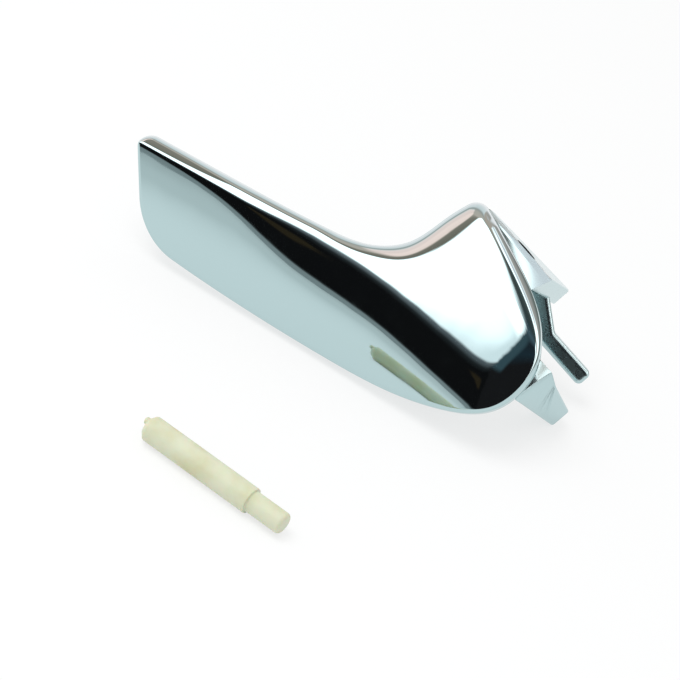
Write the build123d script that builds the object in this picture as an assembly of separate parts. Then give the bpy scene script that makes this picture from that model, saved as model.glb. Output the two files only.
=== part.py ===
"""Car interior door handle: a plated pull lever moulded in one piece, and its loose pivot pin."""
from build123d import *

import os
from math import cos, exp, log, radians, sin, tan

# Outline of the lever's face: u runs along the blade to the nose, v across it, w out of it.
TIP_TOP = (-63.6, 10.1)
TIP_LOW = (-52.0, -12.3)
LOWER_EDGE = [(-16.5, -15.1), (2.0, -15.6), (16.3, -15.3), (31.4, -12.8), (42.2, -7.2)]
NOSE = (45.8, 3.9)
RIGHT_EDGE = [(43.6, 11.1), (37.6, 18.3), (25.1, 27.1)]
PEAK = (13.8, 34.0)
UPPER_EDGE = [(9.9, 26.3), (5.7, 16.8), (-1.6, 11.9), (-11.0, 10.5), (-33.0, 10.1)]
TIP_TOP_ROUND = 3.0
TIP_LOW_ROUND = 17.0
PEAK_ROUND = 3.2

# Directions in which the outline's edges leave and reach their ends.
LOWER_EDGE_START = (1.0, -0.12)
NOSE_DIRECTION = (0.0, 1.0)
PEAK_REACHED = (-0.86, 0.5)
PEAK_LEFT = (-0.5, -0.86)
TIP_REACHED = (-1.0, 0.0)

# Facets of the face: the blade below the ridge, the fin above it, and the roll-off at nose and side.
BLADE_SLOPE = 21.0
FIN_SLOPE = 19.0
NOSE_SLOPE = 45.0
NOSE_START_U = 40.7
SIDE_SLOPE = 48.0
SIDE_START = (34.6, 18.7)
SIDE_DIRECTION = 52.0
SIDE_SOFTNESS = 1.3
RIDGE_V = 6.6
RIDGE_BEND_U = 4.4
RIDGE_BEND_SOFTNESS = 5.5
RIDGE_FALL = 0.24
RIDGE_SOFTNESS_TIP = 0.6
RIDGE_SOFTNESS_NOSE = 2.9
RIDGE_SOFTNESS_RUN = 50.0

# Wall of the lever, and the grid of points that its smooth face is laid through.
LEVER_THICKNESS = 5.0
FRONT_ROUND = 1.8
BACK_ROUND = 1.4
FACE_GRID = (60, 40)
FACE_MARGIN = 4.5
FACE_TOLERANCE = 0.01

# Loose pivot pin: a body and a thinner spigot, with the moulding gate left on its head.
PIN_DIAMETER = 6.0
PIN_BODY_LENGTH = 28.6
PIN_CHAMFER = 0.9
SPIGOT_DIAMETER = 4.9
SPIGOT_LENGTH = 8.8
SPIGOT_ROUND = 0.8
GATE_DIAMETER = 1.7
GATE_HEIGHT = 1.0
GATE_OFFSET = 1.1
PIN_CLEARANCE = 0.05

# Pivot behind the lever. The axis leaves the upper ear at PIVOT_TOP. In the pivot plane, x runs
# across towards the nose and y runs backwards. Levels are measured along the axis, down from the top.
PIVOT_TOP = (27.5, 28.7, -18.7)
PIVOT_AXIS = (0.355, 0.932, 0.055)
EAR_THICKNESS = 5.0
UPPER_EAR = [(9.3, -17.0), (9.3, 24.0), (-6.7, 6.5), (-12.0, -1.0), (-12.0, -17.0)]
UPPER_EAR_CORNER = 1.2
LOWER_EAR_THICKNESS = 8.8
LOWER_EAR_WALL = 3.0
LOWER_EAR_ROOT = 18.0

# Hook bracket for the release cable: a wall under the upper ear that runs out into a prong.
BRACKET_BACK = 7.6
BRACKET_THICKNESS = 4.0
BRACKET_TURN = 18.0
BRACKET_INNER = 4.5
BRACKET_OUTER = 10.5
PRONG_SHOULDER = 19.8
PRONG_LEVEL = 8.5
PRONG_HEIGHT = 4.2
PRONG_END = 32.8

# Stop arm behind the nose: it tapers from its root to its end, and the lever rests on it.
STOP_START = (24.0, -14.0)
STOP_END = (29.9, 12.6)
STOP_WIDTH = 6.4
STOP_LEVEL = 22.7
STOP_ROOT_HEIGHT = 11.4
STOP_END_HEIGHT = 5.2

# How the arms grow out of the back of the lever.
ROOT_OVERLAP = 1.6
ARM_ROUND = 0.5
CUT_REACH = 80.0

# How the two pieces lie on a table.
LEAN = 34.45
ROLL = -1.38
PIN_PLACE = (7.3, -59.6)
PIN_TURN = -6.1


def soft_min(values, softness):
    """Least of the values, with the change from one to the next rounded off."""
    low = min(values)
    return low - softness * log(sum(exp((low - value) / softness) for value in values))


def face_height(u, v):
    """Height of the face: blade and fin fall away from the ridge, the fin rolls off at nose and side."""
    ridge = RIDGE_V + RIDGE_FALL * soft_min([RIDGE_BEND_U - u, 0], RIDGE_BEND_SOFTNESS)
    growth = max(1 - exp((TIP_TOP[0] - u) / RIDGE_SOFTNESS_RUN), 0)
    softness = RIDGE_SOFTNESS_TIP + (RIDGE_SOFTNESS_NOSE - RIDGE_SOFTNESS_TIP) * growth
    blade = tan(radians(BLADE_SLOPE)) * (v - ridge)
    fin = -tan(radians(FIN_SLOPE)) * (v - ridge)
    nose = -tan(radians(NOSE_SLOPE)) * (u - NOSE_START_U)
    side_u, side_v = SIDE_START
    turn = radians(SIDE_DIRECTION)
    reach = (u - side_u) * cos(turn) + (v - side_v) * sin(turn)
    side = fin - tan(radians(SIDE_SLOPE)) * reach
    upper = soft_min([fin, nose, side], SIDE_SOFTNESS)
    return soft_min([blade, upper], softness)


def lever_outline():
    """Outline of the lever: straight tip, long lower edge, round nose, peak and concave upper edge."""
    tip = Line(TIP_TOP, TIP_LOW)
    lower = Spline(TIP_LOW, *LOWER_EDGE, NOSE, tangents=[LOWER_EDGE_START, NOSE_DIRECTION])
    right = Spline(NOSE, *RIGHT_EDGE, PEAK, tangents=[NOSE_DIRECTION, PEAK_REACHED])
    upper = Spline(PEAK, *UPPER_EDGE, TIP_TOP, tangents=[PEAK_LEFT, TIP_REACHED])
    outline = make_face([tip, lower, right, upper])
    for corner, radius in ((PEAK, PEAK_ROUND), (TIP_LOW, TIP_LOW_ROUND), (TIP_TOP, TIP_TOP_ROUND)):
        outline = fillet(outline.vertices().sort_by_distance((*corner, 0))[0], radius)
    return outline


def face_surface():
    """Smooth surface of the face, a margin wider than the lever on every side."""
    box = lever_outline().bounding_box()
    columns, rows = FACE_GRID
    width = box.size.X + 2 * FACE_MARGIN
    height = box.size.Y + 2 * FACE_MARGIN
    grid = []
    for column in range(columns):
        u = box.min.X - FACE_MARGIN + width * column / (columns - 1)
        line = []
        for row in range(rows):
            v = box.min.Y - FACE_MARGIN + height * row / (rows - 1)
            line.append(Vector(u, v, face_height(u, v)))
        grid.append(line)
    return Face.make_surface_from_array_of_points(grid, tol=FACE_TOLERANCE, min_deg=3, max_deg=3)


def front_and_back(plate):
    """The plate's two large skins, the back one first."""
    return plate.faces().sort_by(SortBy.AREA)[-2:].sort_by(Axis.Z)


def lever_plate(front):
    """Plate of even thickness behind the face, cut to the outline, with both edges rounded."""
    slab = extrude(front, LEVER_THICKNESS, dir=(0, 0, -1))
    prism = extrude(Pos(0, 0, -CUT_REACH / 2) * lever_outline(), CUT_REACH)
    plate = (slab & prism).solid()
    plate = plate.fillet(FRONT_ROUND, front_and_back(plate)[1].edges())
    return plate.fillet(BACK_ROUND, front_and_back(plate)[0].edges())


def pivot_plane(level=0.0):
    """Plane across the pivot axis, the given distance below the upper ear's outer face."""
    across = Vector(PIVOT_AXIS).cross(Vector(0, 0, 1))
    return Plane(origin=PIVOT_TOP, x_dir=across, z_dir=PIVOT_AXIS).offset(-level)


def soften(arm):
    """Break the sharp edges of a moulded arm."""
    solid = arm.solid()
    return solid.fillet(ARM_ROUND, solid.edges())


def upper_ear():
    """Ear that carries the pin's body, with a long straight side and a slanted back."""
    outline = fillet(Polygon(*UPPER_EAR, align=None).vertices(), UPPER_EAR_CORNER)
    return soften(pivot_plane(EAR_THICKNESS) * extrude(outline, EAR_THICKNESS))


def lower_ear():
    """Ear that carries the pin's spigot, right under the shoulder of the pin's body."""
    radius = SPIGOT_DIAMETER / 2 + PIN_CLEARANCE + LOWER_EAR_WALL
    root = Pos(0, -LOWER_EAR_ROOT / 2) * Rectangle(2 * radius, LOWER_EAR_ROOT)
    outline = Circle(radius) + root
    foot = PIN_BODY_LENGTH + LOWER_EAR_THICKNESS
    return soften(pivot_plane(foot) * extrude(outline, LOWER_EAR_THICKNESS))


def hook_bracket():
    """Wall under the upper ear, turned a little about the axis, that ends in the cable prong."""
    top = -EAR_THICKNESS / 2
    low = -PRONG_LEVEL - PRONG_HEIGHT
    outline = Polygon(
        (BRACKET_INNER, top),
        (BRACKET_INNER, low),
        (PRONG_END, low),
        (PRONG_END, -PRONG_LEVEL),
        (PRONG_SHOULDER, -PRONG_LEVEL),
        (BRACKET_OUTER, top),
        align=None,
    )
    upright = Rot(90, 0, 0) * extrude(outline, BRACKET_THICKNESS)
    behind = Pos(0, BRACKET_BACK + BRACKET_THICKNESS, 0) * upright
    return soften(pivot_plane() * (Rot(0, 0, BRACKET_TURN) * behind))


def stop_arm():
    """Arm from the back of the nose down to the table, drawn in side view."""
    line = Line(STOP_START, STOP_END)
    outline = Polygon(
        (0, 0),
        (line.length, 0),
        (line.length, STOP_END_HEIGHT),
        (0, STOP_ROOT_HEIGHT),
        align=None,
    )
    upright = Rot(90, 0, 0) * extrude(outline, STOP_WIDTH / 2, both=True)
    along = Pos(*STOP_START) * (Rot(0, 0, line.tangent_angle_at(0)) * upright)
    return soften(pivot_plane(STOP_LEVEL) * along)


def pin_bores():
    """Running bores for the pin's body in the upper ear and for its spigot in the lower one."""
    body = Cylinder(PIN_DIAMETER / 2 + PIN_CLEARANCE, 2 * EAR_THICKNESS)
    spigot = Cylinder(SPIGOT_DIAMETER / 2 + PIN_CLEARANCE, 2 * LOWER_EAR_THICKNESS)
    upper = pivot_plane(EAR_THICKNESS / 2) * body
    lower = pivot_plane(PIN_BODY_LENGTH + LOWER_EAR_THICKNESS / 2) * spigot
    return [upper, lower]


def lever():
    """One moulding: the plate with the ears, the hook bracket and the stop arm grown out of its back."""
    front = face_surface()
    solid = lever_plate(front)
    root_depth = LEVER_THICKNESS - ROOT_OVERLAP
    ahead = extrude(Pos(0, 0, -root_depth) * front, CUT_REACH, dir=(0, 0, 1))
    for arm in (upper_ear(), lower_ear(), stop_arm(), hook_bracket()):
        solid = solid + (arm - ahead)
    for bore in pin_bores():
        solid = solid - bore
    return solid


def pivot_pin():
    """Stepped pin along X: gate and chamfer at its head, the rounded spigot at its far end."""
    on_end = (Align.CENTER, Align.CENTER, Align.MIN)
    body = Cylinder(PIN_DIAMETER / 2, PIN_BODY_LENGTH, align=on_end)
    body = chamfer(body.edges().sort_by(Axis.Z)[0], PIN_CHAMFER)
    spigot = Cylinder(SPIGOT_DIAMETER / 2, SPIGOT_LENGTH, align=on_end)
    spigot = fillet(spigot.edges().sort_by(Axis.Z)[-1], SPIGOT_ROUND)
    gate = Cylinder(GATE_DIAMETER / 2, 2 * GATE_HEIGHT)
    pin = body + Pos(0, 0, PIN_BODY_LENGTH) * spigot + Pos(-GATE_OFFSET, 0, 0) * gate
    centred = Pos(0, 0, -(PIN_BODY_LENGTH + SPIGOT_LENGTH) / 2) * pin
    return Rot(0, 90, 0) * centred


def main():
    """Lay both pieces on the table, put the origin under their middle, and write them."""
    leaning = Rot(0, ROLL, 0) * (Rot(90 - LEAN, 0, 0) * lever())
    resting = Pos(0, 0, -leaning.bounding_box().min.Z) * leaning
    lying = Pos(*PIN_PLACE, PIN_DIAMETER / 2) * (Rot(0, 0, PIN_TURN) * pivot_pin())
    middle = Compound([resting.solid(), lying.solid()]).bounding_box().center()
    to_origin = Pos(-middle.X, -middle.Y, 0)
    os.makedirs("parts", exist_ok=True)
    for name, piece in (("lever", resting), ("pivot_pin", lying)):
        solid = (to_origin * piece).solid()
        export_step(solid, f"parts/{name}.step")
        print(name, "volume", round(solid.volume, 1), "size", solid.bounding_box().size)
    print("origin of the face", (to_origin * resting).position)


main()
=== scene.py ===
# %% [markdown]
# # A plated door lever and its pivot pin
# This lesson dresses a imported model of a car's interior door handle: a bright pull lever, moulded in one
# piece and plated, and the loose nylon pin that it turns on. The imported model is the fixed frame. Every
# piece below is a surface that numpy works out in that same frame, in metres, so nothing has to be fitted
# afterwards.

# %% Load the frame
import bpy
import numpy as np
from mathutils import Matrix


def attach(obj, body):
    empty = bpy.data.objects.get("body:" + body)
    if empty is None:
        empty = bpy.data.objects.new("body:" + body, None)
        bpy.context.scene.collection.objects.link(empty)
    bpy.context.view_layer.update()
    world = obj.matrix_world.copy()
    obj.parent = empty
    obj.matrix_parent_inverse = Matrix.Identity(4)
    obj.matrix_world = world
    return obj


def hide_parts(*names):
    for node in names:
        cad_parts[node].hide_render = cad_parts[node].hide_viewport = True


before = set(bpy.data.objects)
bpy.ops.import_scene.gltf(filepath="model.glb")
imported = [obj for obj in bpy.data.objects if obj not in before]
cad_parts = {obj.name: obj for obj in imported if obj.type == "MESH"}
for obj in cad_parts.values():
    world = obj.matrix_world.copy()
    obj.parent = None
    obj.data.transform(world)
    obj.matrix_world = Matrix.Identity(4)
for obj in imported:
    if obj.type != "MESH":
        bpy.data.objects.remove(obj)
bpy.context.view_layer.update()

# %% [markdown]
# The lever is easiest to describe in the frame of its own face: u runs along the blade to the nose, v runs
# across it, and w stands out of it, all in millimetres. On the table the face leans back and rolls a
# little, so one turn and one shift carry every point of the lever to its place.

# %% From the face to the table
MM = 0.001
LEAN = np.radians(34.45)
ROLL = np.radians(-1.38)
FACE_ORIGIN = np.array([4.60092, 7.61084, 19.5638])


def turn_about_x(angle):
    """Rotation matrix about X: y and z turn into each other."""
    c, s = np.cos(angle), np.sin(angle)
    return np.array([[1, 0, 0], [0, c, -s], [0, s, c]])


def turn_about_y(angle):
    """Rotation matrix about Y: z and x turn into each other."""
    c, s = np.cos(angle), np.sin(angle)
    return np.array([[c, 0, s], [0, 1, 0], [-s, 0, c]])


FACE_TURN = turn_about_y(ROLL) @ turn_about_x(np.pi / 2 - LEAN)


def to_table(points):
    """Turn points of the face frame (mm) and add the face's origin, then give metres."""
    return (np.asarray(points, float) @ FACE_TURN.T + FACE_ORIGIN) * MM


print("face normal on the table:", FACE_TURN[:, 2].round(3))

# %% [markdown]
# The photograph looks at the face from a little to the right of straight on, rolled so that the blade runs
# down to the right. A long lens at about half a metre gives its mild perspective. The frame is square, so
# the focal length follows from the scale in pixels per millimetre and the distance.

# %% Camera
VIEW_SWING = np.radians(16.0)
VIEW_TURN = np.radians(29.38)
VIEW_DISTANCE = 528.0
VIEW_AIM = np.array([4.675, -10.34, 0.0])
PIXELS_PER_MM = 4.9 / 1.1
FRAME_PIXELS = 680
SENSOR_WIDTH = 36.0
NEAREST_SEEN = 0.01

towards = np.array([np.sin(VIEW_SWING), 0, np.cos(VIEW_SWING)])
along = np.array([np.cos(VIEW_SWING), 0, -np.sin(VIEW_SWING)])
across = np.array([0.0, 1.0, 0.0])
right = along * np.cos(VIEW_TURN) + across * np.sin(VIEW_TURN)
above = across * np.cos(VIEW_TURN) - along * np.sin(VIEW_TURN)
camera_turn = Matrix((FACE_TURN @ np.stack([right, above, towards], axis=1)).tolist()).to_4x4()
camera_place = Matrix.Translation(to_table(VIEW_AIM + VIEW_DISTANCE * towards))

camera_data = bpy.data.cameras.new("camera")
camera_data.sensor_width = SENSOR_WIDTH
camera_data.lens = SENSOR_WIDTH * PIXELS_PER_MM * VIEW_DISTANCE / FRAME_PIXELS
camera_data.clip_start = NEAREST_SEEN
camera = bpy.data.objects.new("camera", camera_data)
camera.matrix_world = camera_place @ camera_turn
bpy.context.scene.collection.objects.link(camera)
bpy.context.scene.camera = camera
bpy.context.scene.view_settings.view_transform = "Standard"
print("camera lens", round(camera_data.lens, 1), "at", [round(x, 3) for x in camera.location])

# %% [markdown]
# Node trees read best as formulas. This class wraps one output socket, so that plus, minus, times and
# divide add Math nodes, and its one method `add` puts in any other node: settings first, then values or
# links of its sockets. A Mix node has sockets of the same name for numbers and for colours, so those for
# colours are named here by their places.


# %% Shader maths
FIRST_COLOUR, SECOND_COLOUR, MIXED_COLOUR = 6, 7, 2


class Wire:
    """One output socket of a node tree, for use in arithmetic."""

    def __init__(self, tree, socket=None):
        self.tree = tree
        self.socket = socket

    def add(self, kind, settings=None, inputs=None, output=0):
        """Add a node, set its settings, then set or link its sockets, and wrap one of its outputs."""
        node = self.tree.nodes.new(kind)
        for name, value in (settings or {}).items():
            if name == "stops":
                ramp = node.color_ramp.elements
                while len(ramp) < len(value):
                    ramp.new(0.5)
                for element, (position, colour) in zip(ramp, value):
                    element.position = position
                    element.color = (*colour, 1.0)
            else:
                setattr(node, name, value)
        for name, value in (inputs or {}).items():
            if isinstance(value, Wire):
                self.tree.links.new(value.socket, node.inputs[name])
            else:
                node.inputs[name].default_value = value
        return Wire(self.tree, node.outputs[output] if node.outputs else None)

    def maths(self, operation, *others):
        """A Math node on this value and the others."""
        return self.add("ShaderNodeMath", {"operation": operation}, dict(enumerate((self, *others))))

    def swapped(self, operation, other):
        """A Math node with the other value first."""
        return self.add("ShaderNodeMath", {"operation": operation}, {0: other, 1: self})

    def __add__(self, other):
        return self.maths("ADD", other)

    def __sub__(self, other):
        return self.maths("SUBTRACT", other)

    def __mul__(self, other):
        return self.maths("MULTIPLY", other)

    def __truediv__(self, other):
        return self.maths("DIVIDE", other)

    def __rsub__(self, other):
        return self.swapped("SUBTRACT", other)

    def __rtruediv__(self, other):
        return self.swapped("DIVIDE", other)

    __radd__ = __add__
    __rmul__ = __mul__

    def ramp(self, stops):
        """Colour ramp with the given stops, each a position and a colour."""
        return self.add("ShaderNodeValToRGB", {"stops": stops}, {0: self})

    def span(self, low, high):
        """0 below low, 1 above high, and a smooth step between them."""
        inputs = {"Value": self, "From Min": low, "From Max": high}
        return self.add("ShaderNodeMapRange", {"interpolation_type": "SMOOTHSTEP"}, inputs)

    def between(self, rise, fall):
        """1 between a rising and a falling step, each given by where it begins and where it ends."""
        return self.span(*rise) * (1 - self.span(*fall))

    def mix(self, first, second, blend="MIX"):
        """Colour that goes from the first to its blend with the second as this value goes from 0 to 1."""
        settings = {"data_type": "RGBA", "blend_type": blend}
        inputs = {"Factor": self, FIRST_COLOUR: first, SECOND_COLOUR: second}
        return self.add("ShaderNodeMix", settings, inputs, output=MIXED_COLOUR)


def fresh_tree(holder):
    """Clear a material's or world's nodes and wrap its tree."""
    holder.use_nodes = True
    holder.node_tree.nodes.clear()
    return Wire(holder.node_tree)


print("shader maths ready")

# %% [markdown]
# Bright plating has no colour of its own: it is what stands around it that one sees, so the studio is half
# of the finish. A picture of a room could be wrapped round the scene, but colours worked out from the
# direction of a ray stay sharp and can be moved one by one. Most of them go by pitch, the angle in degrees
# from the front horizon over the zenith to the back: a dark front, a wide soft box overhead, brown walls
# and a pale backdrop. Three such rows serve the flank, the top and the right side, and a fourth is a dark
# room.

# %% Colours of the studio
BLACK = (0.015, 0.013, 0.014)
HAZE = (0.60, 0.62, 0.62)
SOFT_BOX = (2.4, 2.3, 2.3)
BACKDROP = (1.60, 1.30, 1.30)
FRONT_STOPS = [
    (0, HAZE), (1.4, HAZE), (2.2, BLACK), (29, BLACK), (33.5, (0.045, 0.047, 0.050)),
    (37, (0.25, 0.25, 0.27)), (38.5, (0.27, 0.27, 0.29)), (40.5, SOFT_BOX),
]
TOP_STOPS = FRONT_STOPS + [
    (74.5, SOFT_BOX), (76.5, (0.26, 0.21, 0.17)), (85, (0.37, 0.29, 0.24)), (92, (0.82, 0.62, 0.54)),
    (108, (0.76, 0.60, 0.53)), (117, (0.58, 0.50, 0.47)), (127, (1.05, 0.98, 0.98)), (180, BACKDROP),
]
FLANK_STOPS = FRONT_STOPS + [
    (74.5, SOFT_BOX), (76.5, (0.30, 0.25, 0.20)), (81.5, (0.34, 0.27, 0.21)), (85, (1.55, 1.06, 0.96)),
    (92, (1.65, 1.12, 1.02)), (97, (1.45, 1.00, 0.92)), (105, (1.50, 1.04, 0.97)), (110, (1.20, 1.00, 0.95)),
    (114, (0.60, 0.56, 0.54)), (120, (0.62, 0.58, 0.56)), (126, (1.15, 1.03, 1.03)), (180, BACKDROP),
]
RIGHT_STOPS = FRONT_STOPS + [
    (96, SOFT_BOX), (99, (0.50, 0.40, 0.34)), (120, (0.77, 0.55, 0.46)), (149, (0.68, 0.53, 0.48)),
    (160, (0.50, 0.42, 0.40)), (170, (0.22, 0.22, 0.20)),
]
ROOM_STOPS = [
    (0, BLACK), (54, BLACK), (64, (0.020, 0.034, 0.046)), (76, (0.02, 0.026, 0.034)),
    (85, (0.09, 0.13, 0.16)), (95, (0.05, 0.07, 0.075)), (103, (0.07, 0.08, 0.08)),
    (125, (0.22, 0.22, 0.22)),
]
print("studio stops:", len(FLANK_STOPS), len(TOP_STOPS), len(RIGHT_STOPS), len(ROOM_STOPS))

# %% [markdown]
# The pitch of a ray comes from its y and z, as a share of half a turn, and its x tells how far it reaches
# to the right. Slow noise on the pitch makes every edge waver. The soft box leans, so its front edge rises
# to the right.

# %% Directions in the studio
CLUTTER_SCALE, CLUTTER_DETAIL = 9.0, 3.0
PITCH_WAVER, ROOM_WAVER, BROWN_WAVER = 0.008, 0.06, 0.1
BOX_LEAN, BOX_LEAN_FROM, BOX_LEAN_PITCH = 0.44, 0.27, ((0.06, 0.17), (0.30, 0.40))
MIDDLE_GREY = 0.5

world = bpy.data.worlds.new("studio")
bpy.context.scene.world = world
sky = fresh_tree(world)
direction = sky.add("ShaderNodeTexCoord", output="Generated")
split = direction.add("ShaderNodeSeparateXYZ", inputs={0: direction}).socket.node
ray_x, ray_y, ray_z = (Wire(sky.tree, split.outputs[name]) for name in "XYZ")
noise = {"Vector": direction, "Scale": CLUTTER_SCALE, "Detail": CLUTTER_DETAIL}
clutter = sky.add("ShaderNodeTexNoise", inputs=noise) - MIDDLE_GREY
pitch = ray_z.maths("ARCTAN2", 0 - ray_y) / np.pi + clutter * PITCH_WAVER
box_lean = (ray_x + BOX_LEAN_FROM).maths("MAXIMUM", 0.0) * BOX_LEAN * pitch.between(*BOX_LEAN_PITCH)
leaning = pitch - box_lean


def over_the_top(stops, angle_of=pitch):
    """Colours by pitch in degrees, from the front horizon over the zenith to the back."""
    return angle_of.ramp([(angle / 180, colour) for angle, colour in stops])


def side_by_pitch(stops):
    """Reach to the right at which something begins, by pitch in degrees, carried by a grey ramp."""
    greys = [(angle, (side + MIDDLE_GREY,) * 3) for angle, side in stops]
    return over_the_top(greys) - MIDDLE_GREY


print("studio directions: nodes", len(sky.tree.nodes))

# %% [markdown]
# The parts of the studio are laid over each other, the nearest last. The flank, the top and the right side
# lie at the back. A brown patch, a shade that dims the soft box towards the right, and a bright strip come
# next. Then the dark room begins, at a side that changes with pitch: it fills the nose with black, its own
# edge is slate, and higher up it is open to the far right. A small round card comes last. All this is for
# the plating alone: a soft even light reaches the matt surfaces, and the camera sees plain white behind the
# table.

# %% Studio
FLANK_EDGE_RUN, RIGHT_EDGE_RUN = (-0.46, -0.40), (-0.03, 0.03)
RIGHT_SIDE = [(80, -0.22), (90, -0.14), (98, -0.02), (104, 0.10), (150, 0.14)]
BROWN = (0.070, 0.044, 0.024, 1.0)
BROWN_RISE, BROWN_FALL, BROWN_PITCH = (-0.27, -0.25), (-0.22, -0.19), ((0.085, 0.10), (0.14, 0.16))
BOX_SHADE = (0.50, 0.52, 0.53, 1.0)
SHADE_SLANT, SHADE_SHIFT, SHADE_RUN, SHADE_END = 1.11, 0.156, (0.311, 0.383), (0.39, 0.42)
STRIP_SIDE, STRIP_PITCH = (0.19, 0.23), ((0.64, 0.66), (0.80, 0.83))
ROOM_SIDE = [
    (46, -0.13), (52, -0.10), (60, -0.08), (67, -0.06), (74, -0.04), (82, 0.03), (93, 0.10), (103, 0.15),
    (130, 0.22),
]
ROOM_EDGE, ROOM_END = (-0.02, 0.02), (0.645, 0.68)
OPEN_SIDE, OPEN_PITCH = (0.34, 0.42), (0.42, 0.46)
SLATE = (0.060, 0.098, 0.118, 1.0)
SLATE_SIDE, SLATE_PITCH = (0.02, 0.15), ((0.24, 0.28), (0.43, 0.46))
CARD = (1.00, 0.90, 0.95, 1.0)
CARD_PLACE, CARD_EDGE = (0.29, 0.72, 0.63), (0.004, 0.02)
SOFT_LIGHT = (0.80, 0.80, 0.80, 1.0)
WHITE = (1.0, 1.0, 1.0, 1.0)

on_top = ray_x.span(*FLANK_EDGE_RUN)
on_right = (ray_x - side_by_pitch(RIGHT_SIDE)).span(*RIGHT_EDGE_RUN)
studio = on_top.mix(over_the_top(FLANK_STOPS, leaning), over_the_top(TOP_STOPS, leaning))
studio = on_right.mix(studio, over_the_top(RIGHT_STOPS, leaning))

in_brown = (ray_x + clutter * BROWN_WAVER).span(*BROWN_RISE) * (1 - ray_x.span(*BROWN_FALL))
studio = (in_brown * pitch.between(*BROWN_PITCH)).mix(studio, BROWN)

off_shade = (pitch - ray_x * SHADE_SLANT - SHADE_SHIFT).span(*SHADE_RUN)
in_shade = 1 - off_shade.maths("MAXIMUM", pitch.span(*SHADE_END))
studio = in_shade.mix(studio, BOX_SHADE, "MULTIPLY")

in_strip = ray_x.span(*STRIP_SIDE) * pitch.between(*STRIP_PITCH)
studio = in_strip.mix(studio, (*SOFT_BOX, 1.0))

in_room = (ray_x - side_by_pitch(ROOM_SIDE) + clutter * ROOM_WAVER).span(*ROOM_EDGE)
in_room = in_room * (1 - pitch.span(*ROOM_END))
in_room = in_room * (1 - ray_x.span(*OPEN_SIDE) * pitch.span(*OPEN_PITCH))
in_slate = (1 - ray_x.span(*SLATE_SIDE)) * pitch.between(*SLATE_PITCH)
studio = in_room.mix(studio, in_slate.mix(over_the_top(ROOM_STOPS), SLATE))

off_x, off_y, off_z = (part - place for part, place in zip((ray_x, ray_y, ray_z), CARD_PLACE))
off_card = off_x * off_x + off_y * off_y + off_z * off_z
studio = off_card.span(*CARD_EDGE).mix(CARD, studio)

rays = sky.add("ShaderNodeLightPath").socket.node
seen_glossy = Wire(sky.tree, rays.outputs["Is Glossy Ray"])
seen_direct = Wire(sky.tree, rays.outputs["Is Camera Ray"])
shown = seen_direct.mix(seen_glossy.mix(SOFT_LIGHT, studio), WHITE)
glow = sky.add("ShaderNodeBackground", inputs={"Color": shown, "Strength": 1.0})
sky.add("ShaderNodeOutputWorld", inputs={"Surface": glow})
print("whole studio: nodes", len(sky.tree.nodes))

# %% [markdown]
# The table is a plain pale sheet. Seen directly or in the plating it is mostly white of its own, with a
# share of lit paper left in, so that the shadows under the pieces stay. In the plating alone it fades to
# haze towards the front, so that the blade greys softly before the dark band along its ridge. One soft lamp
# gives the pin a light and a dark side.

# %% Table and lamp
TABLE_SIZE = 8.0
PAPER = (0.86, 0.87, 0.87, 1.0)
PAPER_SHARE = 0.3
DUSK = (*HAZE, 1.0)
DUSK_RUN = (0.05, 0.36)
LAMP_SIZE, LAMP_POWER = 0.7, 5.0
LAMP_PLACE = (-0.35, -0.25, 0.9)
LAMP_TURN = np.radians([-15, -21, 0])

table_mesh = bpy.data.meshes.new("table")
corners = np.array([[-1, -1, 0], [1, -1, 0], [1, 1, 0], [-1, 1, 0]]) * TABLE_SIZE / 2
table_mesh.from_pydata(corners.tolist(), [], [[0, 1, 2, 3]])
table = bpy.data.objects.new("table", table_mesh)
bpy.context.scene.collection.objects.link(table)

paper = bpy.data.materials.new("paper")
sheet = fresh_tree(paper)
lit = sheet.add("ShaderNodeBsdfDiffuse", inputs={"Color": PAPER})
paths = sheet.add("ShaderNodeLightPath").socket.node
camera_ray = Wire(sheet.tree, paths.outputs["Is Camera Ray"])
glossy_ray = Wire(sheet.tree, paths.outputs["Is Glossy Ray"])
through_ray = Wire(sheet.tree, paths.outputs["Is Transmission Ray"])
spot = sheet.add("ShaderNodeTexCoord", output="Object")
spot_y = sheet.add("ShaderNodeSeparateXYZ", inputs={0: spot}, output="Y")
dusk = (0 - spot_y).span(*DUSK_RUN) * glossy_ray
plain = sheet.add("ShaderNodeEmission", inputs={"Color": dusk.mix(WHITE, DUSK), "Strength": 1.0})
seen = (camera_ray + glossy_ray + through_ray).maths("MINIMUM", 1.0) * (1 - PAPER_SHARE)
surface = sheet.add("ShaderNodeMixShader", inputs={0: seen, 1: lit, 2: plain})
sheet.add("ShaderNodeOutputMaterial", inputs={"Surface": surface})
table_mesh.materials.append(paper)

lamp_data = bpy.data.lights.new("soft_lamp", "AREA")
lamp_data.shape = "DISK"
lamp_data.size = LAMP_SIZE
lamp_data.energy = LAMP_POWER
lamp = bpy.data.objects.new("soft_lamp", lamp_data)
lamp.location = LAMP_PLACE
lamp.rotation_euler = LAMP_TURN.tolist()
lamp.visible_glossy = False
bpy.context.scene.collection.objects.link(lamp)
print("table", TABLE_SIZE, "m wide, lamp at", LAMP_PLACE)
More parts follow.
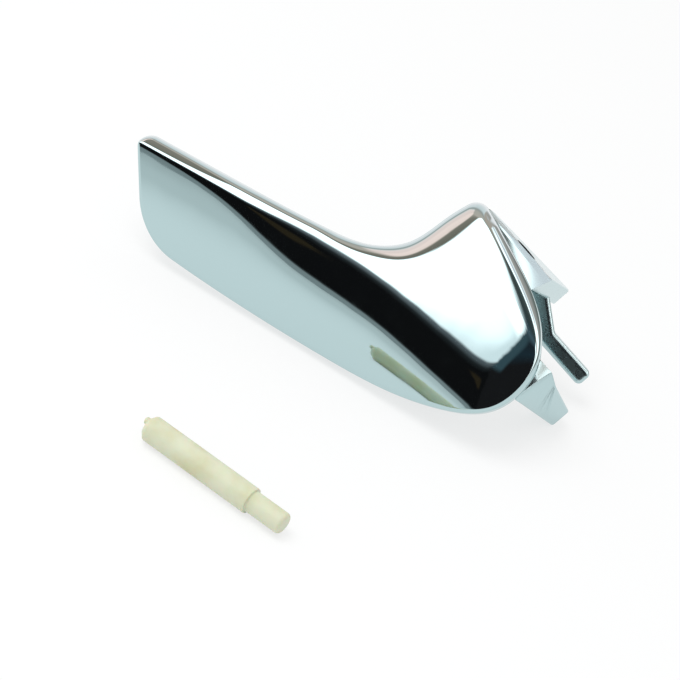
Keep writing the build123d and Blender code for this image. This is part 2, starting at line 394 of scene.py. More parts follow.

# %% [markdown]
# The plating is a bright metal with a cool cast. Polished mouldings are never quite flat, so a very faint
# bump makes the edges of reflections waver, and a little haze in the roughness breaks the mirror here and
# there. The face is polished best, the arms behind it are satin, and the hook is duller still. The walls of
# the bores get a near-black matt skin: painted shade for the dark inside of each bore. The pin is natural
# nylon: cream, slightly waxy, and cloudier where the melt cooled last. All this could be painted, but noise
# on the object's own coordinates needs no unwrapping.

# %% Plating and nylon
PLATING = (0.48, 0.625, 0.64, 1.0)
FACE_POLISH, ARM_POLISH, HOOK_POLISH = 0.03, 0.16, 0.27
POLISH_NOISE, POLISH_SPAN, POLISH_HAZE = {"Scale": 260.0, "Detail": 3.0}, (0.45, 0.8), 0.03
WAVE_NOISE, WAVE_BUMP = {"Scale": 110.0, "Detail": 1.0}, {"Strength": 0.05, "Distance": 0.0004}
CREAM = (0.645, 0.675, 0.51, 1.0)
CREAM_DARK = (0.57, 0.575, 0.37, 1.0)
CLOUD_NOISE, CLOUD_SPAN = {"Scale": 140.0, "Detail": 4.0}, (0.35, 0.75)
GRAIN_NOISE, GRAIN_BUMP = {"Scale": 1500.0, "Detail": 4.0}, {"Strength": 0.25, "Distance": 0.0002}
NYLON_ROUGHNESS, CLOUD_ROUGHNESS = 0.42, 0.15
NYLON_DEPTH = {"Subsurface Weight": 0.25, "Subsurface Scale": 0.002}
# Painted shade inside the bores: a near-black matt skin on their walls.
BORE_SHADE = {"Base Color": (0.012, 0.016, 0.017, 1.0), "Roughness": 0.7}


def fresh_material(name):
    """A new material and its empty tree."""
    material = bpy.data.materials.new(name)
    return material, fresh_tree(material)


def put_skin(tree, inputs):
    """A principled skin with the given inputs, on the output of the tree."""
    skin = tree.add("ShaderNodeBsdfPrincipled", inputs=inputs)
    tree.add("ShaderNodeOutputMaterial", inputs={"Surface": skin})


def plated(name, polish):
    """Bright plating: metal with a slow faint waviness, and a fine haze over its least roughness."""
    material, tree = fresh_material(name)
    place = tree.add("ShaderNodeTexCoord", output="Object")
    haze = tree.add("ShaderNodeTexNoise", inputs={"Vector": place, **POLISH_NOISE})
    roughness = polish + haze.span(*POLISH_SPAN) * POLISH_HAZE
    wave = tree.add("ShaderNodeTexNoise", inputs={"Vector": place, **WAVE_NOISE})
    normal = tree.add("ShaderNodeBump", inputs={"Height": wave, **WAVE_BUMP})
    put_skin(tree, {"Base Color": PLATING, "Metallic": 1.0, "Roughness": roughness, "Normal": normal})
    return material


def nylon():
    """Natural nylon: cream with cloudy darker patches, a satin skin and a fine moulded grain."""
    material, tree = fresh_material("cream_nylon")
    place = tree.add("ShaderNodeTexCoord", output="Object")
    cloud = tree.add("ShaderNodeTexNoise", inputs={"Vector": place, **CLOUD_NOISE})
    colour = cloud.span(*CLOUD_SPAN).mix(CREAM, CREAM_DARK)
    roughness = NYLON_ROUGHNESS + cloud * CLOUD_ROUGHNESS
    grain = tree.add("ShaderNodeTexNoise", inputs={"Vector": place, **GRAIN_NOISE})
    normal = tree.add("ShaderNodeBump", inputs={"Height": grain, **GRAIN_BUMP})
    put_skin(tree, {"Base Color": colour, "Roughness": roughness, "Normal": normal, **NYLON_DEPTH})
    return material


def painted_bore_shade():
    """Near-black matt skin for the bore walls: painted shade inside the bores."""
    material, tree = fresh_material("bore_shade_skin")
    put_skin(tree, BORE_SHADE)
    return material


plating = plated("bright_plating", FACE_POLISH)
bore_shade_skin = painted_bore_shade()
arm_plating = plated("arm_plating", ARM_POLISH)
hook_plating = plated("hook_plating", HOOK_POLISH)
resin_skin = nylon()
print("materials:", [skin.name for skin in (plating, bore_shade_skin, arm_plating, hook_plating, resin_skin)])

# %% [markdown]
# A mesh comes from arrays: points, and faces as rows of point numbers. Faces that meet at a sharp angle
# keep a crisp edge, all others are smooth. A bored piece gives the wall of its bore as a second block of
# faces, which takes a lining. Each finished piece rides on the frame's one body and takes its material.

# %% Piece maker
SHARP_ANGLE = np.radians(50)


def make_piece(name, points, faces, material, node, lining=None):
    """Mesh object from points in metres and face lists, dressed, and put on the frame.

    The faces of the second block, if there is a lining, take that material instead.
    """
    mesh = bpy.data.meshes.new(name)
    mesh.from_pydata(points.tolist(), [], [face for block in faces for face in np.asarray(block).tolist()])
    mesh.polygons.foreach_set("use_smooth", np.ones(len(mesh.polygons), bool))
    mesh.set_sharp_from_angle(angle=SHARP_ANGLE)
    mesh.materials.append(material)
    if lining:
        mesh.materials.append(lining)
        lined = np.repeat(np.arange(len(faces)), [len(block) for block in faces]) == 1
        mesh.polygons.foreach_set("material_index", lined.astype(np.int32))
    mesh.validate()
    piece = bpy.data.objects.new(name, mesh)
    bpy.context.scene.collection.objects.link(piece)
    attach(piece, "root")
    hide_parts(node)
    print(name, "points", len(mesh.vertices), "faces", len(mesh.polygons))
    return piece


def wrap(start, rings, count):
    """Faces of a tube: ring k joins ring k + 1, and each ring closes on itself."""
    here = start + np.arange(rings - 1)[:, None] * count + np.arange(count)
    beside = start + np.arange(rings - 1)[:, None] * count + (np.arange(count) + 1) % count
    return np.stack([here, here + count, beside + count, beside], axis=-1).reshape(-1, 4)


print("edges sharper than", round(np.degrees(SHARP_ANGLE)), "degrees stay crisp")

# %% [markdown]
# The face of the lever is a height over its outline. Below the ridge the blade falls away with a slight
# crown, above it the fin falls at a slope that grows towards the tip, and near the nose and the right side
# the fin rolls off steeply. A patch could be pulled over the outline by hand, but formulas keep its
# reflections even. The least of these heights is the face, and a soft minimum rounds every crease: tight at
# the tip, wide at the nose, so the dark reflection along the ridge opens like a fan.

# %% Height of the face
RIDGE = 6.6
RIDGE_BEND = 4.4
RIDGE_BEND_SOFTNESS = 5.5
RIDGE_FALL = 0.24
BLADE_SLOPE = np.tan(np.radians(20.6))
CROWN_MIDDLE, CROWN_RADIUS, CROWN_LIFT = -13.0, 220.0, 0.1
FIN_SLOPE, FIN_TIP_SLOPE = np.tan(np.radians([19, 24.6]))
FIN_RUN = (11.0, 36.0)
NOSE_SLOPE = np.tan(np.radians(45))
SIDE_SLOPE = np.tan(np.radians(48))
NOSE_START = 40.7
SIDE_START = (34.6, 18.7)
SIDE_DIRECTION = np.radians(52)
SIDE_SOFTNESS = 1.3
TIP_SOFTNESS = 0.14
NOSE_SOFTNESS = 2.45
SOFTNESS_MIDDLE = -24.2
SOFTNESS_RUN = 7.8


def smooth_step(value, low, high):
    """0 below low and 1 above high, with an even S between them."""
    q = np.clip((value - low) / (high - low), 0, 1)
    return q * q * (3 - 2 * q)


def soft_min(values, softness):
    """Least value minus softness times the log of the sum of exponentials of the gaps to it."""
    low = np.minimum.reduce(values)
    return low - softness * np.log(sum(np.exp((low - value) / softness) for value in values))


def face_height(u, v):
    """Soft minimum of the blade, the fin, the nose and the side, each a height over (u, v)."""
    ridge = RIDGE + RIDGE_FALL * soft_min([RIDGE_BEND - u, 0 * u], RIDGE_BEND_SOFTNESS)
    growth = 1 / (1 + np.exp((SOFTNESS_MIDDLE - u) / SOFTNESS_RUN))
    softness = TIP_SOFTNESS + (NOSE_SOFTNESS - TIP_SOFTNESS) * growth
    rise = v - ridge
    blade = BLADE_SLOPE * rise - (rise - CROWN_MIDDLE)**2 / (2 * CROWN_RADIUS) + CROWN_LIFT
    fin = -(FIN_SLOPE + (FIN_TIP_SLOPE - FIN_SLOPE) * smooth_step(-u, *FIN_RUN)) * rise
    nose = -NOSE_SLOPE * (u - NOSE_START)
    reach = (u - SIDE_START[0]) * np.cos(SIDE_DIRECTION) + (v - SIDE_START[1]) * np.sin(SIDE_DIRECTION)
    side = fin - SIDE_SLOPE * reach
    return soft_min([blade, soft_min([fin, nose, side], SIDE_SOFTNESS)], softness)


print("height of the face at its origin:", face_height(np.zeros(1), np.zeros(1)).round(2), "mm")

# %% [markdown]
# Outlines are loops of points. A few helpers make and measure them: a cubic curve through given points,
# points at given distances along a loop, even steps round it, its length, and a corner that is rounded.
# Blender's own curves could do this too, but as arrays the loops can be measured and offset at once.

# %% Curves and loops
CURVE_POINTS = 1500


def unit(vectors):
    """Vectors divided by their lengths."""
    return vectors / np.linalg.norm(vectors, axis=-1, keepdims=True)


def distances(points):
    """Distance along a row of points, from its first to each of them."""
    return np.concatenate([[0], np.cumsum(np.linalg.norm(np.diff(points, axis=0), axis=1))])


def smooth_curve(points, start, end):
    """Cubic curve through the points: slopes at inner points make the bend continuous, ends are given."""
    points = np.array(points, float)
    steps = np.linalg.norm(np.diff(points, axis=0), axis=1)
    places = distances(points)
    inner = np.arange(1, len(points) - 1)
    system = np.zeros((len(points), len(points)))
    system[0, 0] = system[-1, -1] = 1
    system[inner, inner - 1] = steps[1:]
    system[inner, inner] = 2 * (steps[1:] + steps[:-1])
    system[inner, inner + 1] = steps[:-1]
    chords = np.diff(points, axis=0) / steps[:, None]
    pulls = 3 * (steps[1:, None] * chords[:-1] + steps[:-1, None] * chords[1:])
    ends = unit(np.array([start, end], float))
    slopes = np.linalg.solve(system, np.concatenate([ends[:1], pulls, ends[1:]]))
    run = np.linspace(0, places[-1], CURVE_POINTS)
    k = np.clip(np.searchsorted(places, run, "right") - 1, 0, len(steps) - 1)
    span = steps[k][:, None]
    q = ((run - places[k]) / steps[k])[:, None]
    near = (2 * q**3 - 3 * q**2 + 1) * points[k] + (q**3 - 2 * q**2 + q) * span * slopes[k]
    return near + (3 * q**2 - 2 * q**3) * points[k + 1] + (q**3 - q**2) * span * slopes[k + 1]


def along_loop(loop, places):
    """Points of a closed loop at the given distances along it."""
    closed = np.concatenate([loop, loop[:1]])
    run = distances(closed)
    return np.stack([np.interp(places % run[-1], run, closed[:, axis]) for axis in (0, 1)], axis=1)


def loop_length(loop):
    """Length of a closed loop."""
    return np.linalg.norm(loop - np.roll(loop, 1, axis=0), axis=1).sum()


def even_steps(loop, count):
    """A closed loop resampled at even steps."""
    return along_loop(loop, np.linspace(0, loop_length(loop), count, endpoint=False))


def round_corner(loop, corner, radius, look=8, count=60):
    """Replace the loop near a corner by a conic arc that touches both sides, close to a circle."""
    loop = np.roll(loop, -np.argmin(np.linalg.norm(loop - np.array(corner), axis=1)), axis=0)
    ahead = loop[look] - loop[0]
    behind = loop[-look] - loop[0]
    cosine = ahead @ behind / np.linalg.norm(ahead) / np.linalg.norm(behind)
    half = np.arccos(cosine) / 2
    reach = radius / np.tan(half)
    total = loop_length(loop)
    run = distances(loop)
    first, last = along_loop(loop, np.array([total - reach, reach]))
    q = np.linspace(0, 1, count)[:, None]
    weight = np.sin(half) * 2 * q * (1 - q)
    arc = ((1 - q)**2 * first + weight * loop[0] + q**2 * last) / ((1 - q)**2 + weight + q**2)
    return np.concatenate([arc, loop[(run > reach) & (run < total - reach)]])


print("length round a unit square:", loop_length(np.array([[0, 0], [1, 0], [1, 1], [0, 1]])))

# %% [markdown]
# The outline is drawn as a stylist would: a straight slanted tip, a long lower edge that swings up into the
# nose, a bulging right side up to the peak, and a hollow upper edge back to the tip. Smooth curves run
# through a few points, with the ways in which they start and end, and the three corners are rounded
# afterwards.

# %% Outline of the lever
TIP_TOP, TIP_LOW, NOSE, PEAK = (-63.6, 10.1), (-52.0, -12.3), (45.8, 3.9), (13.8, 34.0)
LOWER_EDGE = [TIP_LOW, (-16.5, -15.1), (2.0, -15.6), (16.3, -15.3), (31.4, -12.8), (42.2, -7.2), NOSE]
RIGHT_EDGE = [NOSE, (43.6, 11.1), (37.6, 18.3), (25.1, 27.1), PEAK]
UPPER_EDGE = [PEAK, (9.9, 26.3), (5.7, 16.8), (-1.6, 11.9), (-11.0, 10.5), (-33.0, 10.1), TIP_TOP]
LOWER_WAYS = (1, -0.12), (0, 1)
RIGHT_WAYS = (0, 1), (-0.86, 0.5)
UPPER_WAYS = (-0.5, -0.86), (-1, 0)
TIP_POINTS = 500
CORNERS = [(PEAK, 3.2), (TIP_LOW, 17.0), (TIP_TOP, 3.0)]


def lever_outline():
    """Closed outline, counter-clockwise, with rounded corners."""
    tip = np.linspace(TIP_TOP, TIP_LOW, TIP_POINTS)
    lower = smooth_curve(LOWER_EDGE, *LOWER_WAYS)
    side = smooth_curve(RIGHT_EDGE, *RIGHT_WAYS)
    upper = smooth_curve(UPPER_EDGE, *UPPER_WAYS)
    loop = np.concatenate([tip[:-1], lower[:-1], side[:-1], upper[:-1]])
    for corner, radius in CORNERS:
        loop = round_corner(loop, corner, radius)
    return loop


outline = lever_outline()
print("outline length", round(loop_length(outline), 1), "mm")

# %% [markdown]
# The shell of the lever hangs on one ring of points round the outline, in two chains of equal number: tip
# to nose below, and nose to tip above. Each point has a normal that points inwards, and the rolled edge
# begins some way along it. Near the peak this inner ring is drawn to a sharp corner, where the broad rim of
# the flank meets the right side.

# %% Ring round the outline
CHAIN_POINTS, FINE_POINTS, TANGENT_PARTS, DRAWN_POINTS = 400, 8000, 2000, 2001
CORNER_STEPS, CORNER_REACH, CORNER_WEIGHT = (22, 8, 30), 0.35, 9.0


def ring_with_normals(loop):
    """Two chains of points, tip to nose below and nose to tip above, with their inward normals."""
    total = loop_length(loop)
    fine = even_steps(loop, FINE_POINTS)
    fine = np.roll(fine, -np.argmin(fine[:, 0]), axis=0)
    turn = np.argmax(fine[:, 0])
    lower = np.linspace(0, turn, CHAIN_POINTS)[:-1]
    upper = np.linspace(turn, len(fine), CHAIN_POINTS)[:-1]
    places = np.concatenate([lower, upper]) / len(fine) * total
    step = total / TANGENT_PARTS
    points = along_loop(fine, places)
    tangent = unit(along_loop(fine, places + step) - along_loop(fine, places - step))
    return points, np.stack([-tangent[:, 1], tangent[:, 0]], axis=1)


def conic(start, control, end, share, weight):
    """Curve that leaves start towards control and reaches end from it: a weighted quadratic blend."""
    near, middle, far = (1 - share)**2, 2 * weight * share * (1 - share), share**2
    return (near * start + middle * control + far * end) / (near + middle + far)


def draw_to_corner(ring, middle, corner):
    """Run the ring to a corner and turn there: a heavy conic, spaced evenly on both sides of its turn."""
    before, turn, after = CORNER_STEPS
    share = np.linspace(0, 1, DRAWN_POINTS)[:, None]
    drawn = conic(ring[middle - before], np.array(corner), ring[middle + after], share, CORNER_WEIGHT)
    run = distances(drawn)
    bend = run[len(run) // 2]
    places = [0, bend - CORNER_REACH, bend + CORNER_REACH, run[-1]]
    places = np.interp(np.arange(-before, after + 1), [-before, -turn, turn, after], places)
    ring = ring.copy()
    ring[middle - before:middle + after + 1] = np.stack(
        [np.interp(places, run, drawn[:, axis]) for axis in (0, 1)], axis=1)
    return ring


ring_points, ring_normals = ring_with_normals(outline)
print("points on the ring:", len(ring_points))

# %% [markdown]
# The face and the back fill the ring. Each is ruled: straight rows across, between the lower and the upper
# chain, lifted to the height of the face. Triangles close it at the tip and at the nose, where the chains
# meet.

# %% Face and back


def ruled_patch(ring, rows, lift):
    """Rows from the lower to the upper chain of a ring, lifted to the face: points, and rows and columns."""
    half = CHAIN_POINTS - 1
    low = ring[1:half]
    high = ring[:half:-1]
    share = np.linspace(0, 1, rows + 2)[1:-1, None, None]
    flat = low * (1 - share) + high * share
    height = face_height(flat[..., 0], flat[..., 1]) + lift
    points = np.concatenate([flat, height[..., None]], axis=-1).reshape(-1, 3)
    return points, flat.shape[:2]


def patch_faces(first, start, rows, columns):
    """Quads of a ruled patch on the ring that starts at `first`, and the triangles at its two end points."""
    half = CHAIN_POINTS - 1
    ring = first + np.arange(2 * half)
    inner = start + np.arange(rows * columns).reshape(rows, columns)
    grid = np.concatenate([ring[None, 1:half], inner, ring[None, :half:-1]])
    quads = np.stack([grid[:-1, :-1], grid[:-1, 1:], grid[1:, 1:], grid[1:, :-1]], axis=-1).reshape(-1, 4)
    tip = np.full(rows + 1, ring[0])
    nose = np.full(rows + 1, ring[half])
    fans = [np.stack([tip, grid[:-1, 0], grid[1:, 0]], axis=-1)]
    fans.append(np.stack([grid[:-1, -1], nose, grid[1:, -1]], axis=-1))
    return quads, np.concatenate(fans)


print("quads in a row of a ruled patch:", CHAIN_POINTS - 3)

# %% [markdown]
# Between the face and the wall lies the rolled edge, a curve that leaves the face smoothly and ends upright
# on the wall. It is narrow below, wider along the top but less so towards the tip, and widest on the flank
# of the fin, where the real part shows a broad soft rim. A Bevel modifier would need a weight on every edge
# for that, and here the width is a formula.

# %% Shell of the lever
THICKNESS = 5.0
SLOPE_STEP, LEAST_TURN = 0.05, 0.05
EDGE_LOW, EDGE_TOP, EDGE_TIP, EDGE_FLANK, EDGE_PEAK, EDGE_BACK = 0.8, 2.1, -0.8, 5.7, 6.3, 2.1
EDGE_DROP = 2.7
TOP_SIDE, TOP_TURN = np.array([-0.35, 0.94]), (-0.05, 0.75)
FLANK_SIDE, FLANK_TURN = np.array([-0.86, 0.5]), (0.1, 0.9)
FLANK_RUN, TIP_RUN, PEAK_RUN = (-16, 4), (18, 52), (17, 29)
RIM_CORNER = (17.2, 29.3)
FACE_ROWS, BACK_ROWS, EDGE_STEPS = 130, 24, 12


def edge_rings(points, inner, drop, side):
    """Rings from the face (side 1) or the back (side -1) over the edge to the wall.

    The control of each curve lies over the outline, where the face's slope carries on from the inner ring.
    The curve ends on the wall, as far below that control as it is wide, but no further than the drop.
    """
    way = points - inner
    width = np.linalg.norm(way, axis=1)[:, None]
    ahead = inner + way / width * SLOPE_STEP
    begin = face_height(inner[:, 0], inner[:, 1])[:, None]
    slope = (face_height(ahead[:, 0], ahead[:, 1])[:, None] - begin) / SLOPE_STEP
    start = np.concatenate([inner, begin], axis=1)
    control = np.concatenate([points, begin + slope * width], axis=1)
    fall = np.minimum(width * np.sqrt(1 + slope**2), drop)
    end = control - side * fall * np.array([0, 0, 1])
    turn = (slope * side / np.sqrt(1 + slope**2) + 1) / 2
    weight = np.sqrt(np.clip(turn, LEAST_TURN, 1))
    return [conic(start, control, end, share, weight) for share in np.linspace(0, 1, EDGE_STEPS + 1)]


def lever_shell():
    """Rings over the front edge, the wall and the back edge, then the ruled face and back."""
    points, normals = ring_points, ring_normals
    top = smooth_step(-normals @ TOP_SIDE, *TOP_TURN)
    flank = smooth_step(-normals @ FLANK_SIDE, *FLANK_TURN) * smooth_step(points[:, 0], *FLANK_RUN)
    inset = EDGE_LOW + (EDGE_TOP + EDGE_TIP * smooth_step(-points[:, 0], *TIP_RUN) - EDGE_LOW) * top
    widest = EDGE_FLANK + (EDGE_PEAK - EDGE_FLANK) * smooth_step(points[:, 1], *PEAK_RUN)
    inset = inset + (widest - inset) * flank
    inner = points + normals * inset[:, None]
    inner = draw_to_corner(inner, np.argmin(np.linalg.norm(points - np.array(PEAK), axis=1)), RIM_CORNER)
    front = edge_rings(points, inner, EDGE_DROP, 1)
    back = edge_rings(points, points + normals * EDGE_BACK, EDGE_DROP, -1)
    rings = front + [ring - [0, 0, THICKNESS] for ring in back[::-1]]
    count = len(points)
    blocks = list(rings)
    faces = [wrap(0, len(rings), count)]
    start = count * len(rings)
    last = count * (len(rings) - 1)
    for first, rows, lift, turned in ((0, FACE_ROWS, 0.0, False), (last, BACK_ROWS, -THICKNESS, True)):
        inner, shape = ruled_patch(rings[first // count][:, :2], rows, lift)
        quads, fans = patch_faces(first, start, *shape)
        faces += [quads[:, ::-1], fans[:, ::-1]] if turned else [quads, fans]
        blocks.append(inner)
        start += len(inner)
    return np.concatenate(blocks), faces


shell_points, shell_faces = lever_shell()
make_piece("lever_shell", to_table(shell_points), shell_faces, plating, "lever")

# %% [markdown]
# Behind the face stand the arms. They are described in the frame of the pivot: x runs across towards the
# nose, y runs backwards, and z runs up along the pin's axis. Objects could be turned into place, but here
# the points are, so that every piece stays at the origin. What would stick out through the face is held
# back inside it, and each arm grows out of the shell.

# %% Pivot frame
PIVOT_TOP = np.array([27.5, 28.7, -18.7])
PIVOT_AXIS = unit(np.array([0.355, 0.932, 0.055]))
PIVOT_ACROSS = unit(np.cross(PIVOT_AXIS, [0, 0, 1]))
PIVOT_FRAME = np.stack([PIVOT_ACROSS, np.cross(PIVOT_AXIS, PIVOT_ACROSS), PIVOT_AXIS])
ROOT_DEPTH, STOP_ROOT_DEPTH, STOP_ROOT_STEEPNESS = 3.4, 0.6, 1.7


def from_pivot(points, depth=ROOT_DEPTH, steepness=1.0):
    """Points of the pivot frame in the face frame, held back inside the face.

    None stands higher than the height of the face times the steepness, less the depth.
    """
    points = np.asarray(points) @ PIVOT_FRAME + PIVOT_TOP
    limit = face_height(points[:, 0], points[:, 1]) * steepness - depth
    points[:, 2] = np.minimum(points[:, 2], limit)
    return points


print("pivot axis in the face frame:", PIVOT_AXIS.round(3))

# %% [markdown]
# Each arm is a flat moulding with softened edges: an outline carried round at several levels, and drawn in
# by a quarter round at the first and the last. An ear also has a bore, whose wall is a ring of faces of its
# own.

# %% Flat mouldings
ARM_ROUND, ARM_STEPS, ARM_CORNER = 0.5, 4, 0.75
FLAT_FROM = 1.2
SIDE_POINTS, CORNER_LOOK, CORNER_POINTS = 200, 4, 12


def rounded_loop(corners, radius, count):
    """Polygon with rounded corners, resampled at even steps, counter-clockwise."""
    corners = np.array(corners, float)
    ends = np.roll(corners, -1, axis=0)
    share = np.linspace(0, 1, SIDE_POINTS, endpoint=False)[None, :, None]
    loop = (corners[:, None] * (1 - share) + ends[:, None] * share).reshape(-1, 2)
    for corner in corners:
        loop = round_corner(loop, corner, radius, CORNER_LOOK, CORNER_POINTS)
    return even_steps(loop, count)


def outward(loop):
    """Outward normals of a counter-clockwise loop."""
    tangent = unit(np.roll(loop, -1, axis=0) - np.roll(loop, 1, axis=0))
    return np.stack([tangent[:, 1], -tangent[:, 0]], axis=1)


def moulding_rings(loop, low, high, radius=ARM_ROUND):
    """The loop at rising levels, drawn in by a quarter round at the low and the high end."""
    sweep = np.linspace(0, np.pi / 2, ARM_STEPS + 1)
    insets = np.concatenate([[radius * FLAT_FROM], radius * (1 - np.sin(sweep))])
    insets = np.concatenate([insets, insets[::-1]])
    rises = np.concatenate([[0], radius * (1 - np.cos(sweep))])
    rises = np.concatenate([low + rises, high - rises[::-1]])
    flat = loop - outward(loop) * insets[:, None, None]
    height = np.broadcast_to(rises[:, None, None], (*flat.shape[:2], 1))
    return np.concatenate([flat, height], axis=-1)


def capped_tube(rings):
    """Points and faces of a stack of rings: its walls, and one flat face at each end."""
    levels, count = rings.shape[:2]
    numbers = np.arange(levels * count).reshape(levels, count)
    return rings.reshape(-1, 3), [wrap(0, levels, count)[:, ::-1], numbers[:1, ::-1], numbers[-1:]]


def solid_moulding(loop, low, high, radius=ARM_ROUND):
    """A flat moulding with closed ends: points and faces."""
    return capped_tube(moulding_rings(loop, low, high, radius))


def bored_moulding(loop, low, high, bore):
    """A flat moulding with a round bore about its origin: the bore's wall is the second block of faces."""
    rings = moulding_rings(loop, low, high)
    angle = np.arctan2(loop[:, 1], loop[:, 0])
    circle = bore * np.stack([np.cos(angle), np.sin(angle)], axis=1)
    mouths = []
    for level in (high, low):
        mouths.append(np.concatenate([circle, np.full((len(loop), 1), level)], axis=1))
    rings = np.concatenate([rings, np.stack(mouths), rings[:1]])
    levels, count = rings.shape[:2]
    faces = wrap(0, levels, count)[:, ::-1]
    closed = np.where(faces >= (levels - 1) * count, faces - (levels - 1) * count, faces)
    outside, wall, foot = np.split(closed, [(levels - 3) * count, (levels - 2) * count])
    return rings[:-1].reshape(-1, 3), [np.concatenate([outside, foot]), wall]


print("levels of a moulding:", 2 * (ARM_STEPS + 2))

# %% [markdown]
# Two ears carry the pin. The upper one is broad, with a long straight side and a slanted back, and its bore
# takes the pin's body. The lower one is narrow and takes the spigot, right under the shoulder of the pin's
# body. A Boolean could cut the bores, but rings that run on down through the bore leave cleaner faces.

# %% Ears
EAR_THICKNESS, LOWER_EAR_THICKNESS = 5.0, 8.8
UPPER_EAR = [(-12.0, -17.0), (9.3, -17.0), (9.3, 24.0), (-6.7, 6.5), (-12.0, -1.0)]
UPPER_BORE, LOWER_BORE = 3.05, 2.5
PIN_BODY_LENGTH = 28.6
LOWER_EAR_RADIUS = 5.5
LOWER_EAR_ROOT = 18.0
EAR_CORNER = 1.2
UPPER_EAR_POINTS, LOWER_EAR_POINTS, HALF_CIRCLE_POINTS = 240, 200, 100


def lower_ear_loop():
    """Half circle about the axis, closed by the straight strip that roots it."""
    swing = np.linspace(0, np.pi, HALF_CIRCLE_POINTS)
    cap = LOWER_EAR_RADIUS * np.stack([np.cos(swing), np.sin(swing)], axis=1)
    root = np.array([[-LOWER_EAR_RADIUS, -LOWER_EAR_ROOT], [LOWER_EAR_RADIUS, -LOWER_EAR_ROOT]])
    return even_steps(np.concatenate([cap, root]), LOWER_EAR_POINTS)


upper_loop = rounded_loop(UPPER_EAR, EAR_CORNER, UPPER_EAR_POINTS)
upper_points, upper_faces = bored_moulding(upper_loop, -EAR_THICKNESS, 0.0, UPPER_BORE)
upper_points = to_table(from_pivot(upper_points))
make_piece("upper_ear", upper_points, upper_faces, arm_plating, "lever", bore_shade_skin)

lower_foot = -PIN_BODY_LENGTH - LOWER_EAR_THICKNESS
lower_points, lower_faces = bored_moulding(lower_ear_loop(), lower_foot, -PIN_BODY_LENGTH, LOWER_BORE)
lower_points = to_table(from_pivot(lower_points))
make_piece("lower_ear", lower_points, lower_faces, arm_plating, "lever", bore_shade_skin)

# %% [markdown]
# The hook bracket hangs under the upper ear and runs out into a prong for the release cable. The stop arm
# stands behind the nose and tapers to its end, where the lever rests on the table. Both are solid mouldings
# laid on their sides, so the same helper serves them.

# %% Hook bracket and stop arm
BRACKET_BACK, BRACKET_THICKNESS = 7.6, 4.0
BRACKET_TURN = np.radians(18)
BRACKET_ROUND, BRACKET_CORNER = 1.1, 1.4
BRACKET = [(4.5, -2.5), (4.5, -12.7), (32.8, -12.7), (32.8, -8.5), (19.8, -8.5), (10.5, -2.5)]
STOP_START, STOP_END = np.array([24.0, -14.0]), np.array([29.9, 12.6])
STOP_WIDTH, STOP_LEVEL, STOP_ROOT_HEIGHT, STOP_END_HEIGHT = 6.4, 22.7, 10.2, 5.2
BRACKET_POINTS, STOP_POINTS = 260, 200

bracket_loop = rounded_loop(BRACKET, BRACKET_CORNER, BRACKET_POINTS)
bracket_low = -BRACKET_BACK - BRACKET_THICKNESS
bracket_points, bracket_faces = solid_moulding(bracket_loop, bracket_low, -BRACKET_BACK, BRACKET_ROUND)
bracket_points = bracket_points[:, [0, 2, 1]] * np.array([1, -1, 1])
bracket_way = np.array([np.cos(BRACKET_TURN), np.sin(BRACKET_TURN)])
bracket_flat = bracket_points[:, :1] * bracket_way + bracket_points[:, 1:2] * bracket_way[::-1] * [-1, 1]
bracket_points = np.concatenate([bracket_flat, bracket_points[:, 2:]], axis=1)
bracket_points = to_table(from_pivot(bracket_points))
make_piece("hook_bracket", bracket_points, bracket_faces, hook_plating, "lever")

stop_run = np.linalg.norm(STOP_END - STOP_START)
stop_way = (STOP_END - STOP_START) / stop_run
stop_side = np.array([stop_way[1], -stop_way[0]])
stop_outline = [(0, 0), (stop_run, 0), (stop_run, STOP_END_HEIGHT), (0, STOP_ROOT_HEIGHT)]
stop_loop = rounded_loop(stop_outline, ARM_CORNER, STOP_POINTS)
stop_points, stop_faces = solid_moulding(stop_loop, -STOP_WIDTH / 2, STOP_WIDTH / 2)
stop_flat = STOP_START + stop_points[:, :1] * stop_way + stop_points[:, 2:] * stop_side
stop_points = np.concatenate([stop_flat, stop_points[:, 1:2] - STOP_LEVEL], axis=1)
stop_points = from_pivot(stop_points, STOP_ROOT_DEPTH, STOP_ROOT_STEEPNESS)
make_piece("stop_arm", to_table(stop_points), stop_faces, arm_plating, "lever")

# %% [markdown]
# The pin is turned in shape: a profile of radius over length, swept once round its axis. Helpers give the
# sweep, a quarter round and a run of even rows. A Screw modifier could sweep the profile too, but with
# arrays the number of rows in each stretch is chosen at once.

# %% Turned profiles


def turned(profile, count, shift=(0.0, 0.0)):
    """Profile rows of (length, radius) swept about X and shifted sideways: a tube closed at both ends."""
    profile = np.array(profile, float)
    angle = np.linspace(0, 2 * np.pi, count, endpoint=False)
    length = np.broadcast_to(profile[:, :1], (len(profile), count))
    sideways = profile[:, 1:] * np.cos(angle) + shift[0]
    upward = profile[:, 1:] * np.sin(angle) + shift[1]
    return capped_tube(np.stack([length, sideways, upward], axis=-1))


def quarter(start, end, count=8):
    """Quarter round from start to end: the length eases in while the radius eases out."""
    sweep = np.linspace(0, np.pi / 2, count)
    start, end = np.array(start), np.array(end)
    ease = np.stack([np.sin(sweep), 1 - np.cos(sweep)], axis=1)
    return (start + (end - start) * ease).tolist()


def steps(start, end, count):
    """Even rows from start to end."""
    return np.linspace(start, end, count).tolist()


print("rows of a quarter round:", len(quarter((0, 0), (1, 1))))

# %% [markdown]
# The pin's body has a chamfered head, and a shoulder with a broken edge, where the thinner spigot begins
# and runs to a rounded end. The stub of the gate, through which the melt came in, is left on the head, off
# centre.

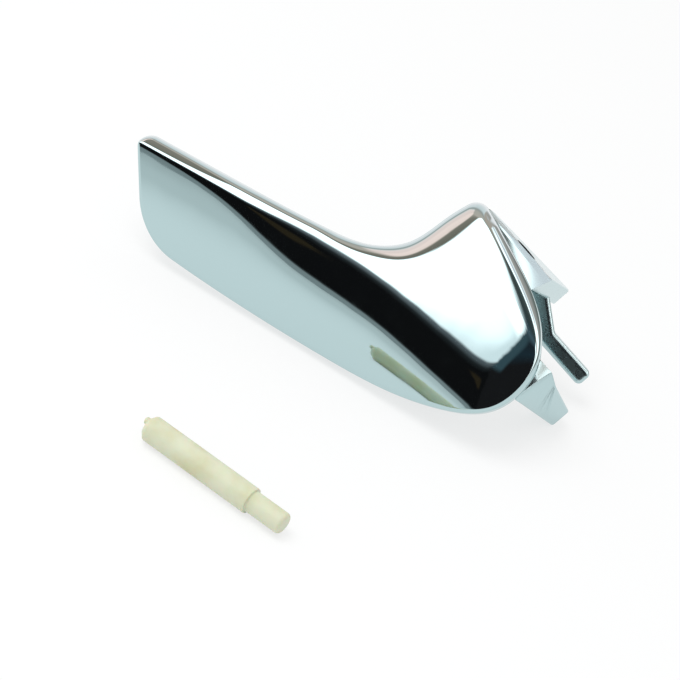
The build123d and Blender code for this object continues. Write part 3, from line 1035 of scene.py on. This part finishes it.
# %% Pivot pin
PIN_PLACE = np.array([7.3, -59.6, 3.0]) + FACE_ORIGIN * [1, 1, 0]
PIN_TURN = np.radians(-6.1)
PIN_RADIUS, SPIGOT_RADIUS, SPIGOT_LENGTH = 3.0, 2.45, 8.8
PIN_CHAMFER, SPIGOT_ROUND = 0.9, 0.8
CHAMFER_LOW, CHAMFER_HIGH = (0.12, 0.1), (0.1, 0.08)
SHOULDER_BREAK, SHOULDER_EASE, SPIGOT_FOOT, END_CAP = 0.25, 0.06, 0.15, 0.2
GATE_RADIUS, GATE_HEIGHT, GATE_OFFSET = 0.85, 1.0, 1.1
GATE_ROOT, GATE_BREAK, GATE_CAP = 0.3, 0.2, 0.1
PIN_POINTS, GATE_POINTS = 128, 40
PIN_LENGTH = PIN_BODY_LENGTH + SPIGOT_LENGTH

shoulder = PIN_BODY_LENGTH
head_radius = PIN_RADIUS - PIN_CHAMFER
chamfer_low = (CHAMFER_LOW[0], head_radius + CHAMFER_LOW[1])
chamfer_high = (PIN_CHAMFER - CHAMFER_HIGH[0], PIN_RADIUS - CHAMFER_HIGH[1])
body_start = PIN_CHAMFER + CHAMFER_HIGH[0]
shoulder_start = (shoulder - SHOULDER_EASE, PIN_RADIUS - SHOULDER_EASE)
spigot_end = PIN_LENGTH - SPIGOT_ROUND
end_radius = SPIGOT_RADIUS - SPIGOT_ROUND
pin_profile = [
    *steps((0, END_CAP), (0, head_radius), 6),
    *steps(chamfer_low, chamfer_high, 4),
    *steps((body_start, PIN_RADIUS), (shoulder - SHOULDER_BREAK, PIN_RADIUS), 120),
    *steps(shoulder_start, (shoulder, PIN_RADIUS - SHOULDER_BREAK), 3),
    *steps((shoulder, SPIGOT_RADIUS + SPIGOT_FOOT), (shoulder + SPIGOT_FOOT, SPIGOT_RADIUS), 3),
    *steps((shoulder + 2 * SPIGOT_FOOT, SPIGOT_RADIUS), (spigot_end, SPIGOT_RADIUS), 40),
    *quarter((spigot_end, SPIGOT_RADIUS), (PIN_LENGTH, end_radius))[1:],
    *steps((PIN_LENGTH, end_radius - END_CAP), (PIN_LENGTH, END_CAP), 4),
]
pin_points, pin_faces = turned(pin_profile, PIN_POINTS)
gate_profile = [
    (-GATE_HEIGHT, GATE_CAP),
    (-GATE_HEIGHT, GATE_RADIUS - GATE_BREAK),
    (GATE_BREAK - GATE_HEIGHT, GATE_RADIUS),
    (GATE_ROOT, GATE_RADIUS),
    (GATE_ROOT, GATE_CAP),
]
gate_points, gate_faces = turned(gate_profile, GATE_POINTS, (0.0, GATE_OFFSET))
gate_faces = [block + len(pin_points) for block in gate_faces]


def to_pin_place(points):
    """Centre the pin on its length, turn it on the table and move it to its place, in metres."""
    c, s = np.cos(PIN_TURN), np.sin(PIN_TURN)
    turn = np.array([[c, -s, 0], [s, c, 0], [0, 0, 1]])
    return ((points - [PIN_LENGTH / 2, 0, 0]) @ turn.T + PIN_PLACE) * MM


all_points = np.concatenate([pin_points, gate_points])
make_piece("pin", to_pin_place(all_points), pin_faces + gate_faces, resin_skin, "pivot_pin")
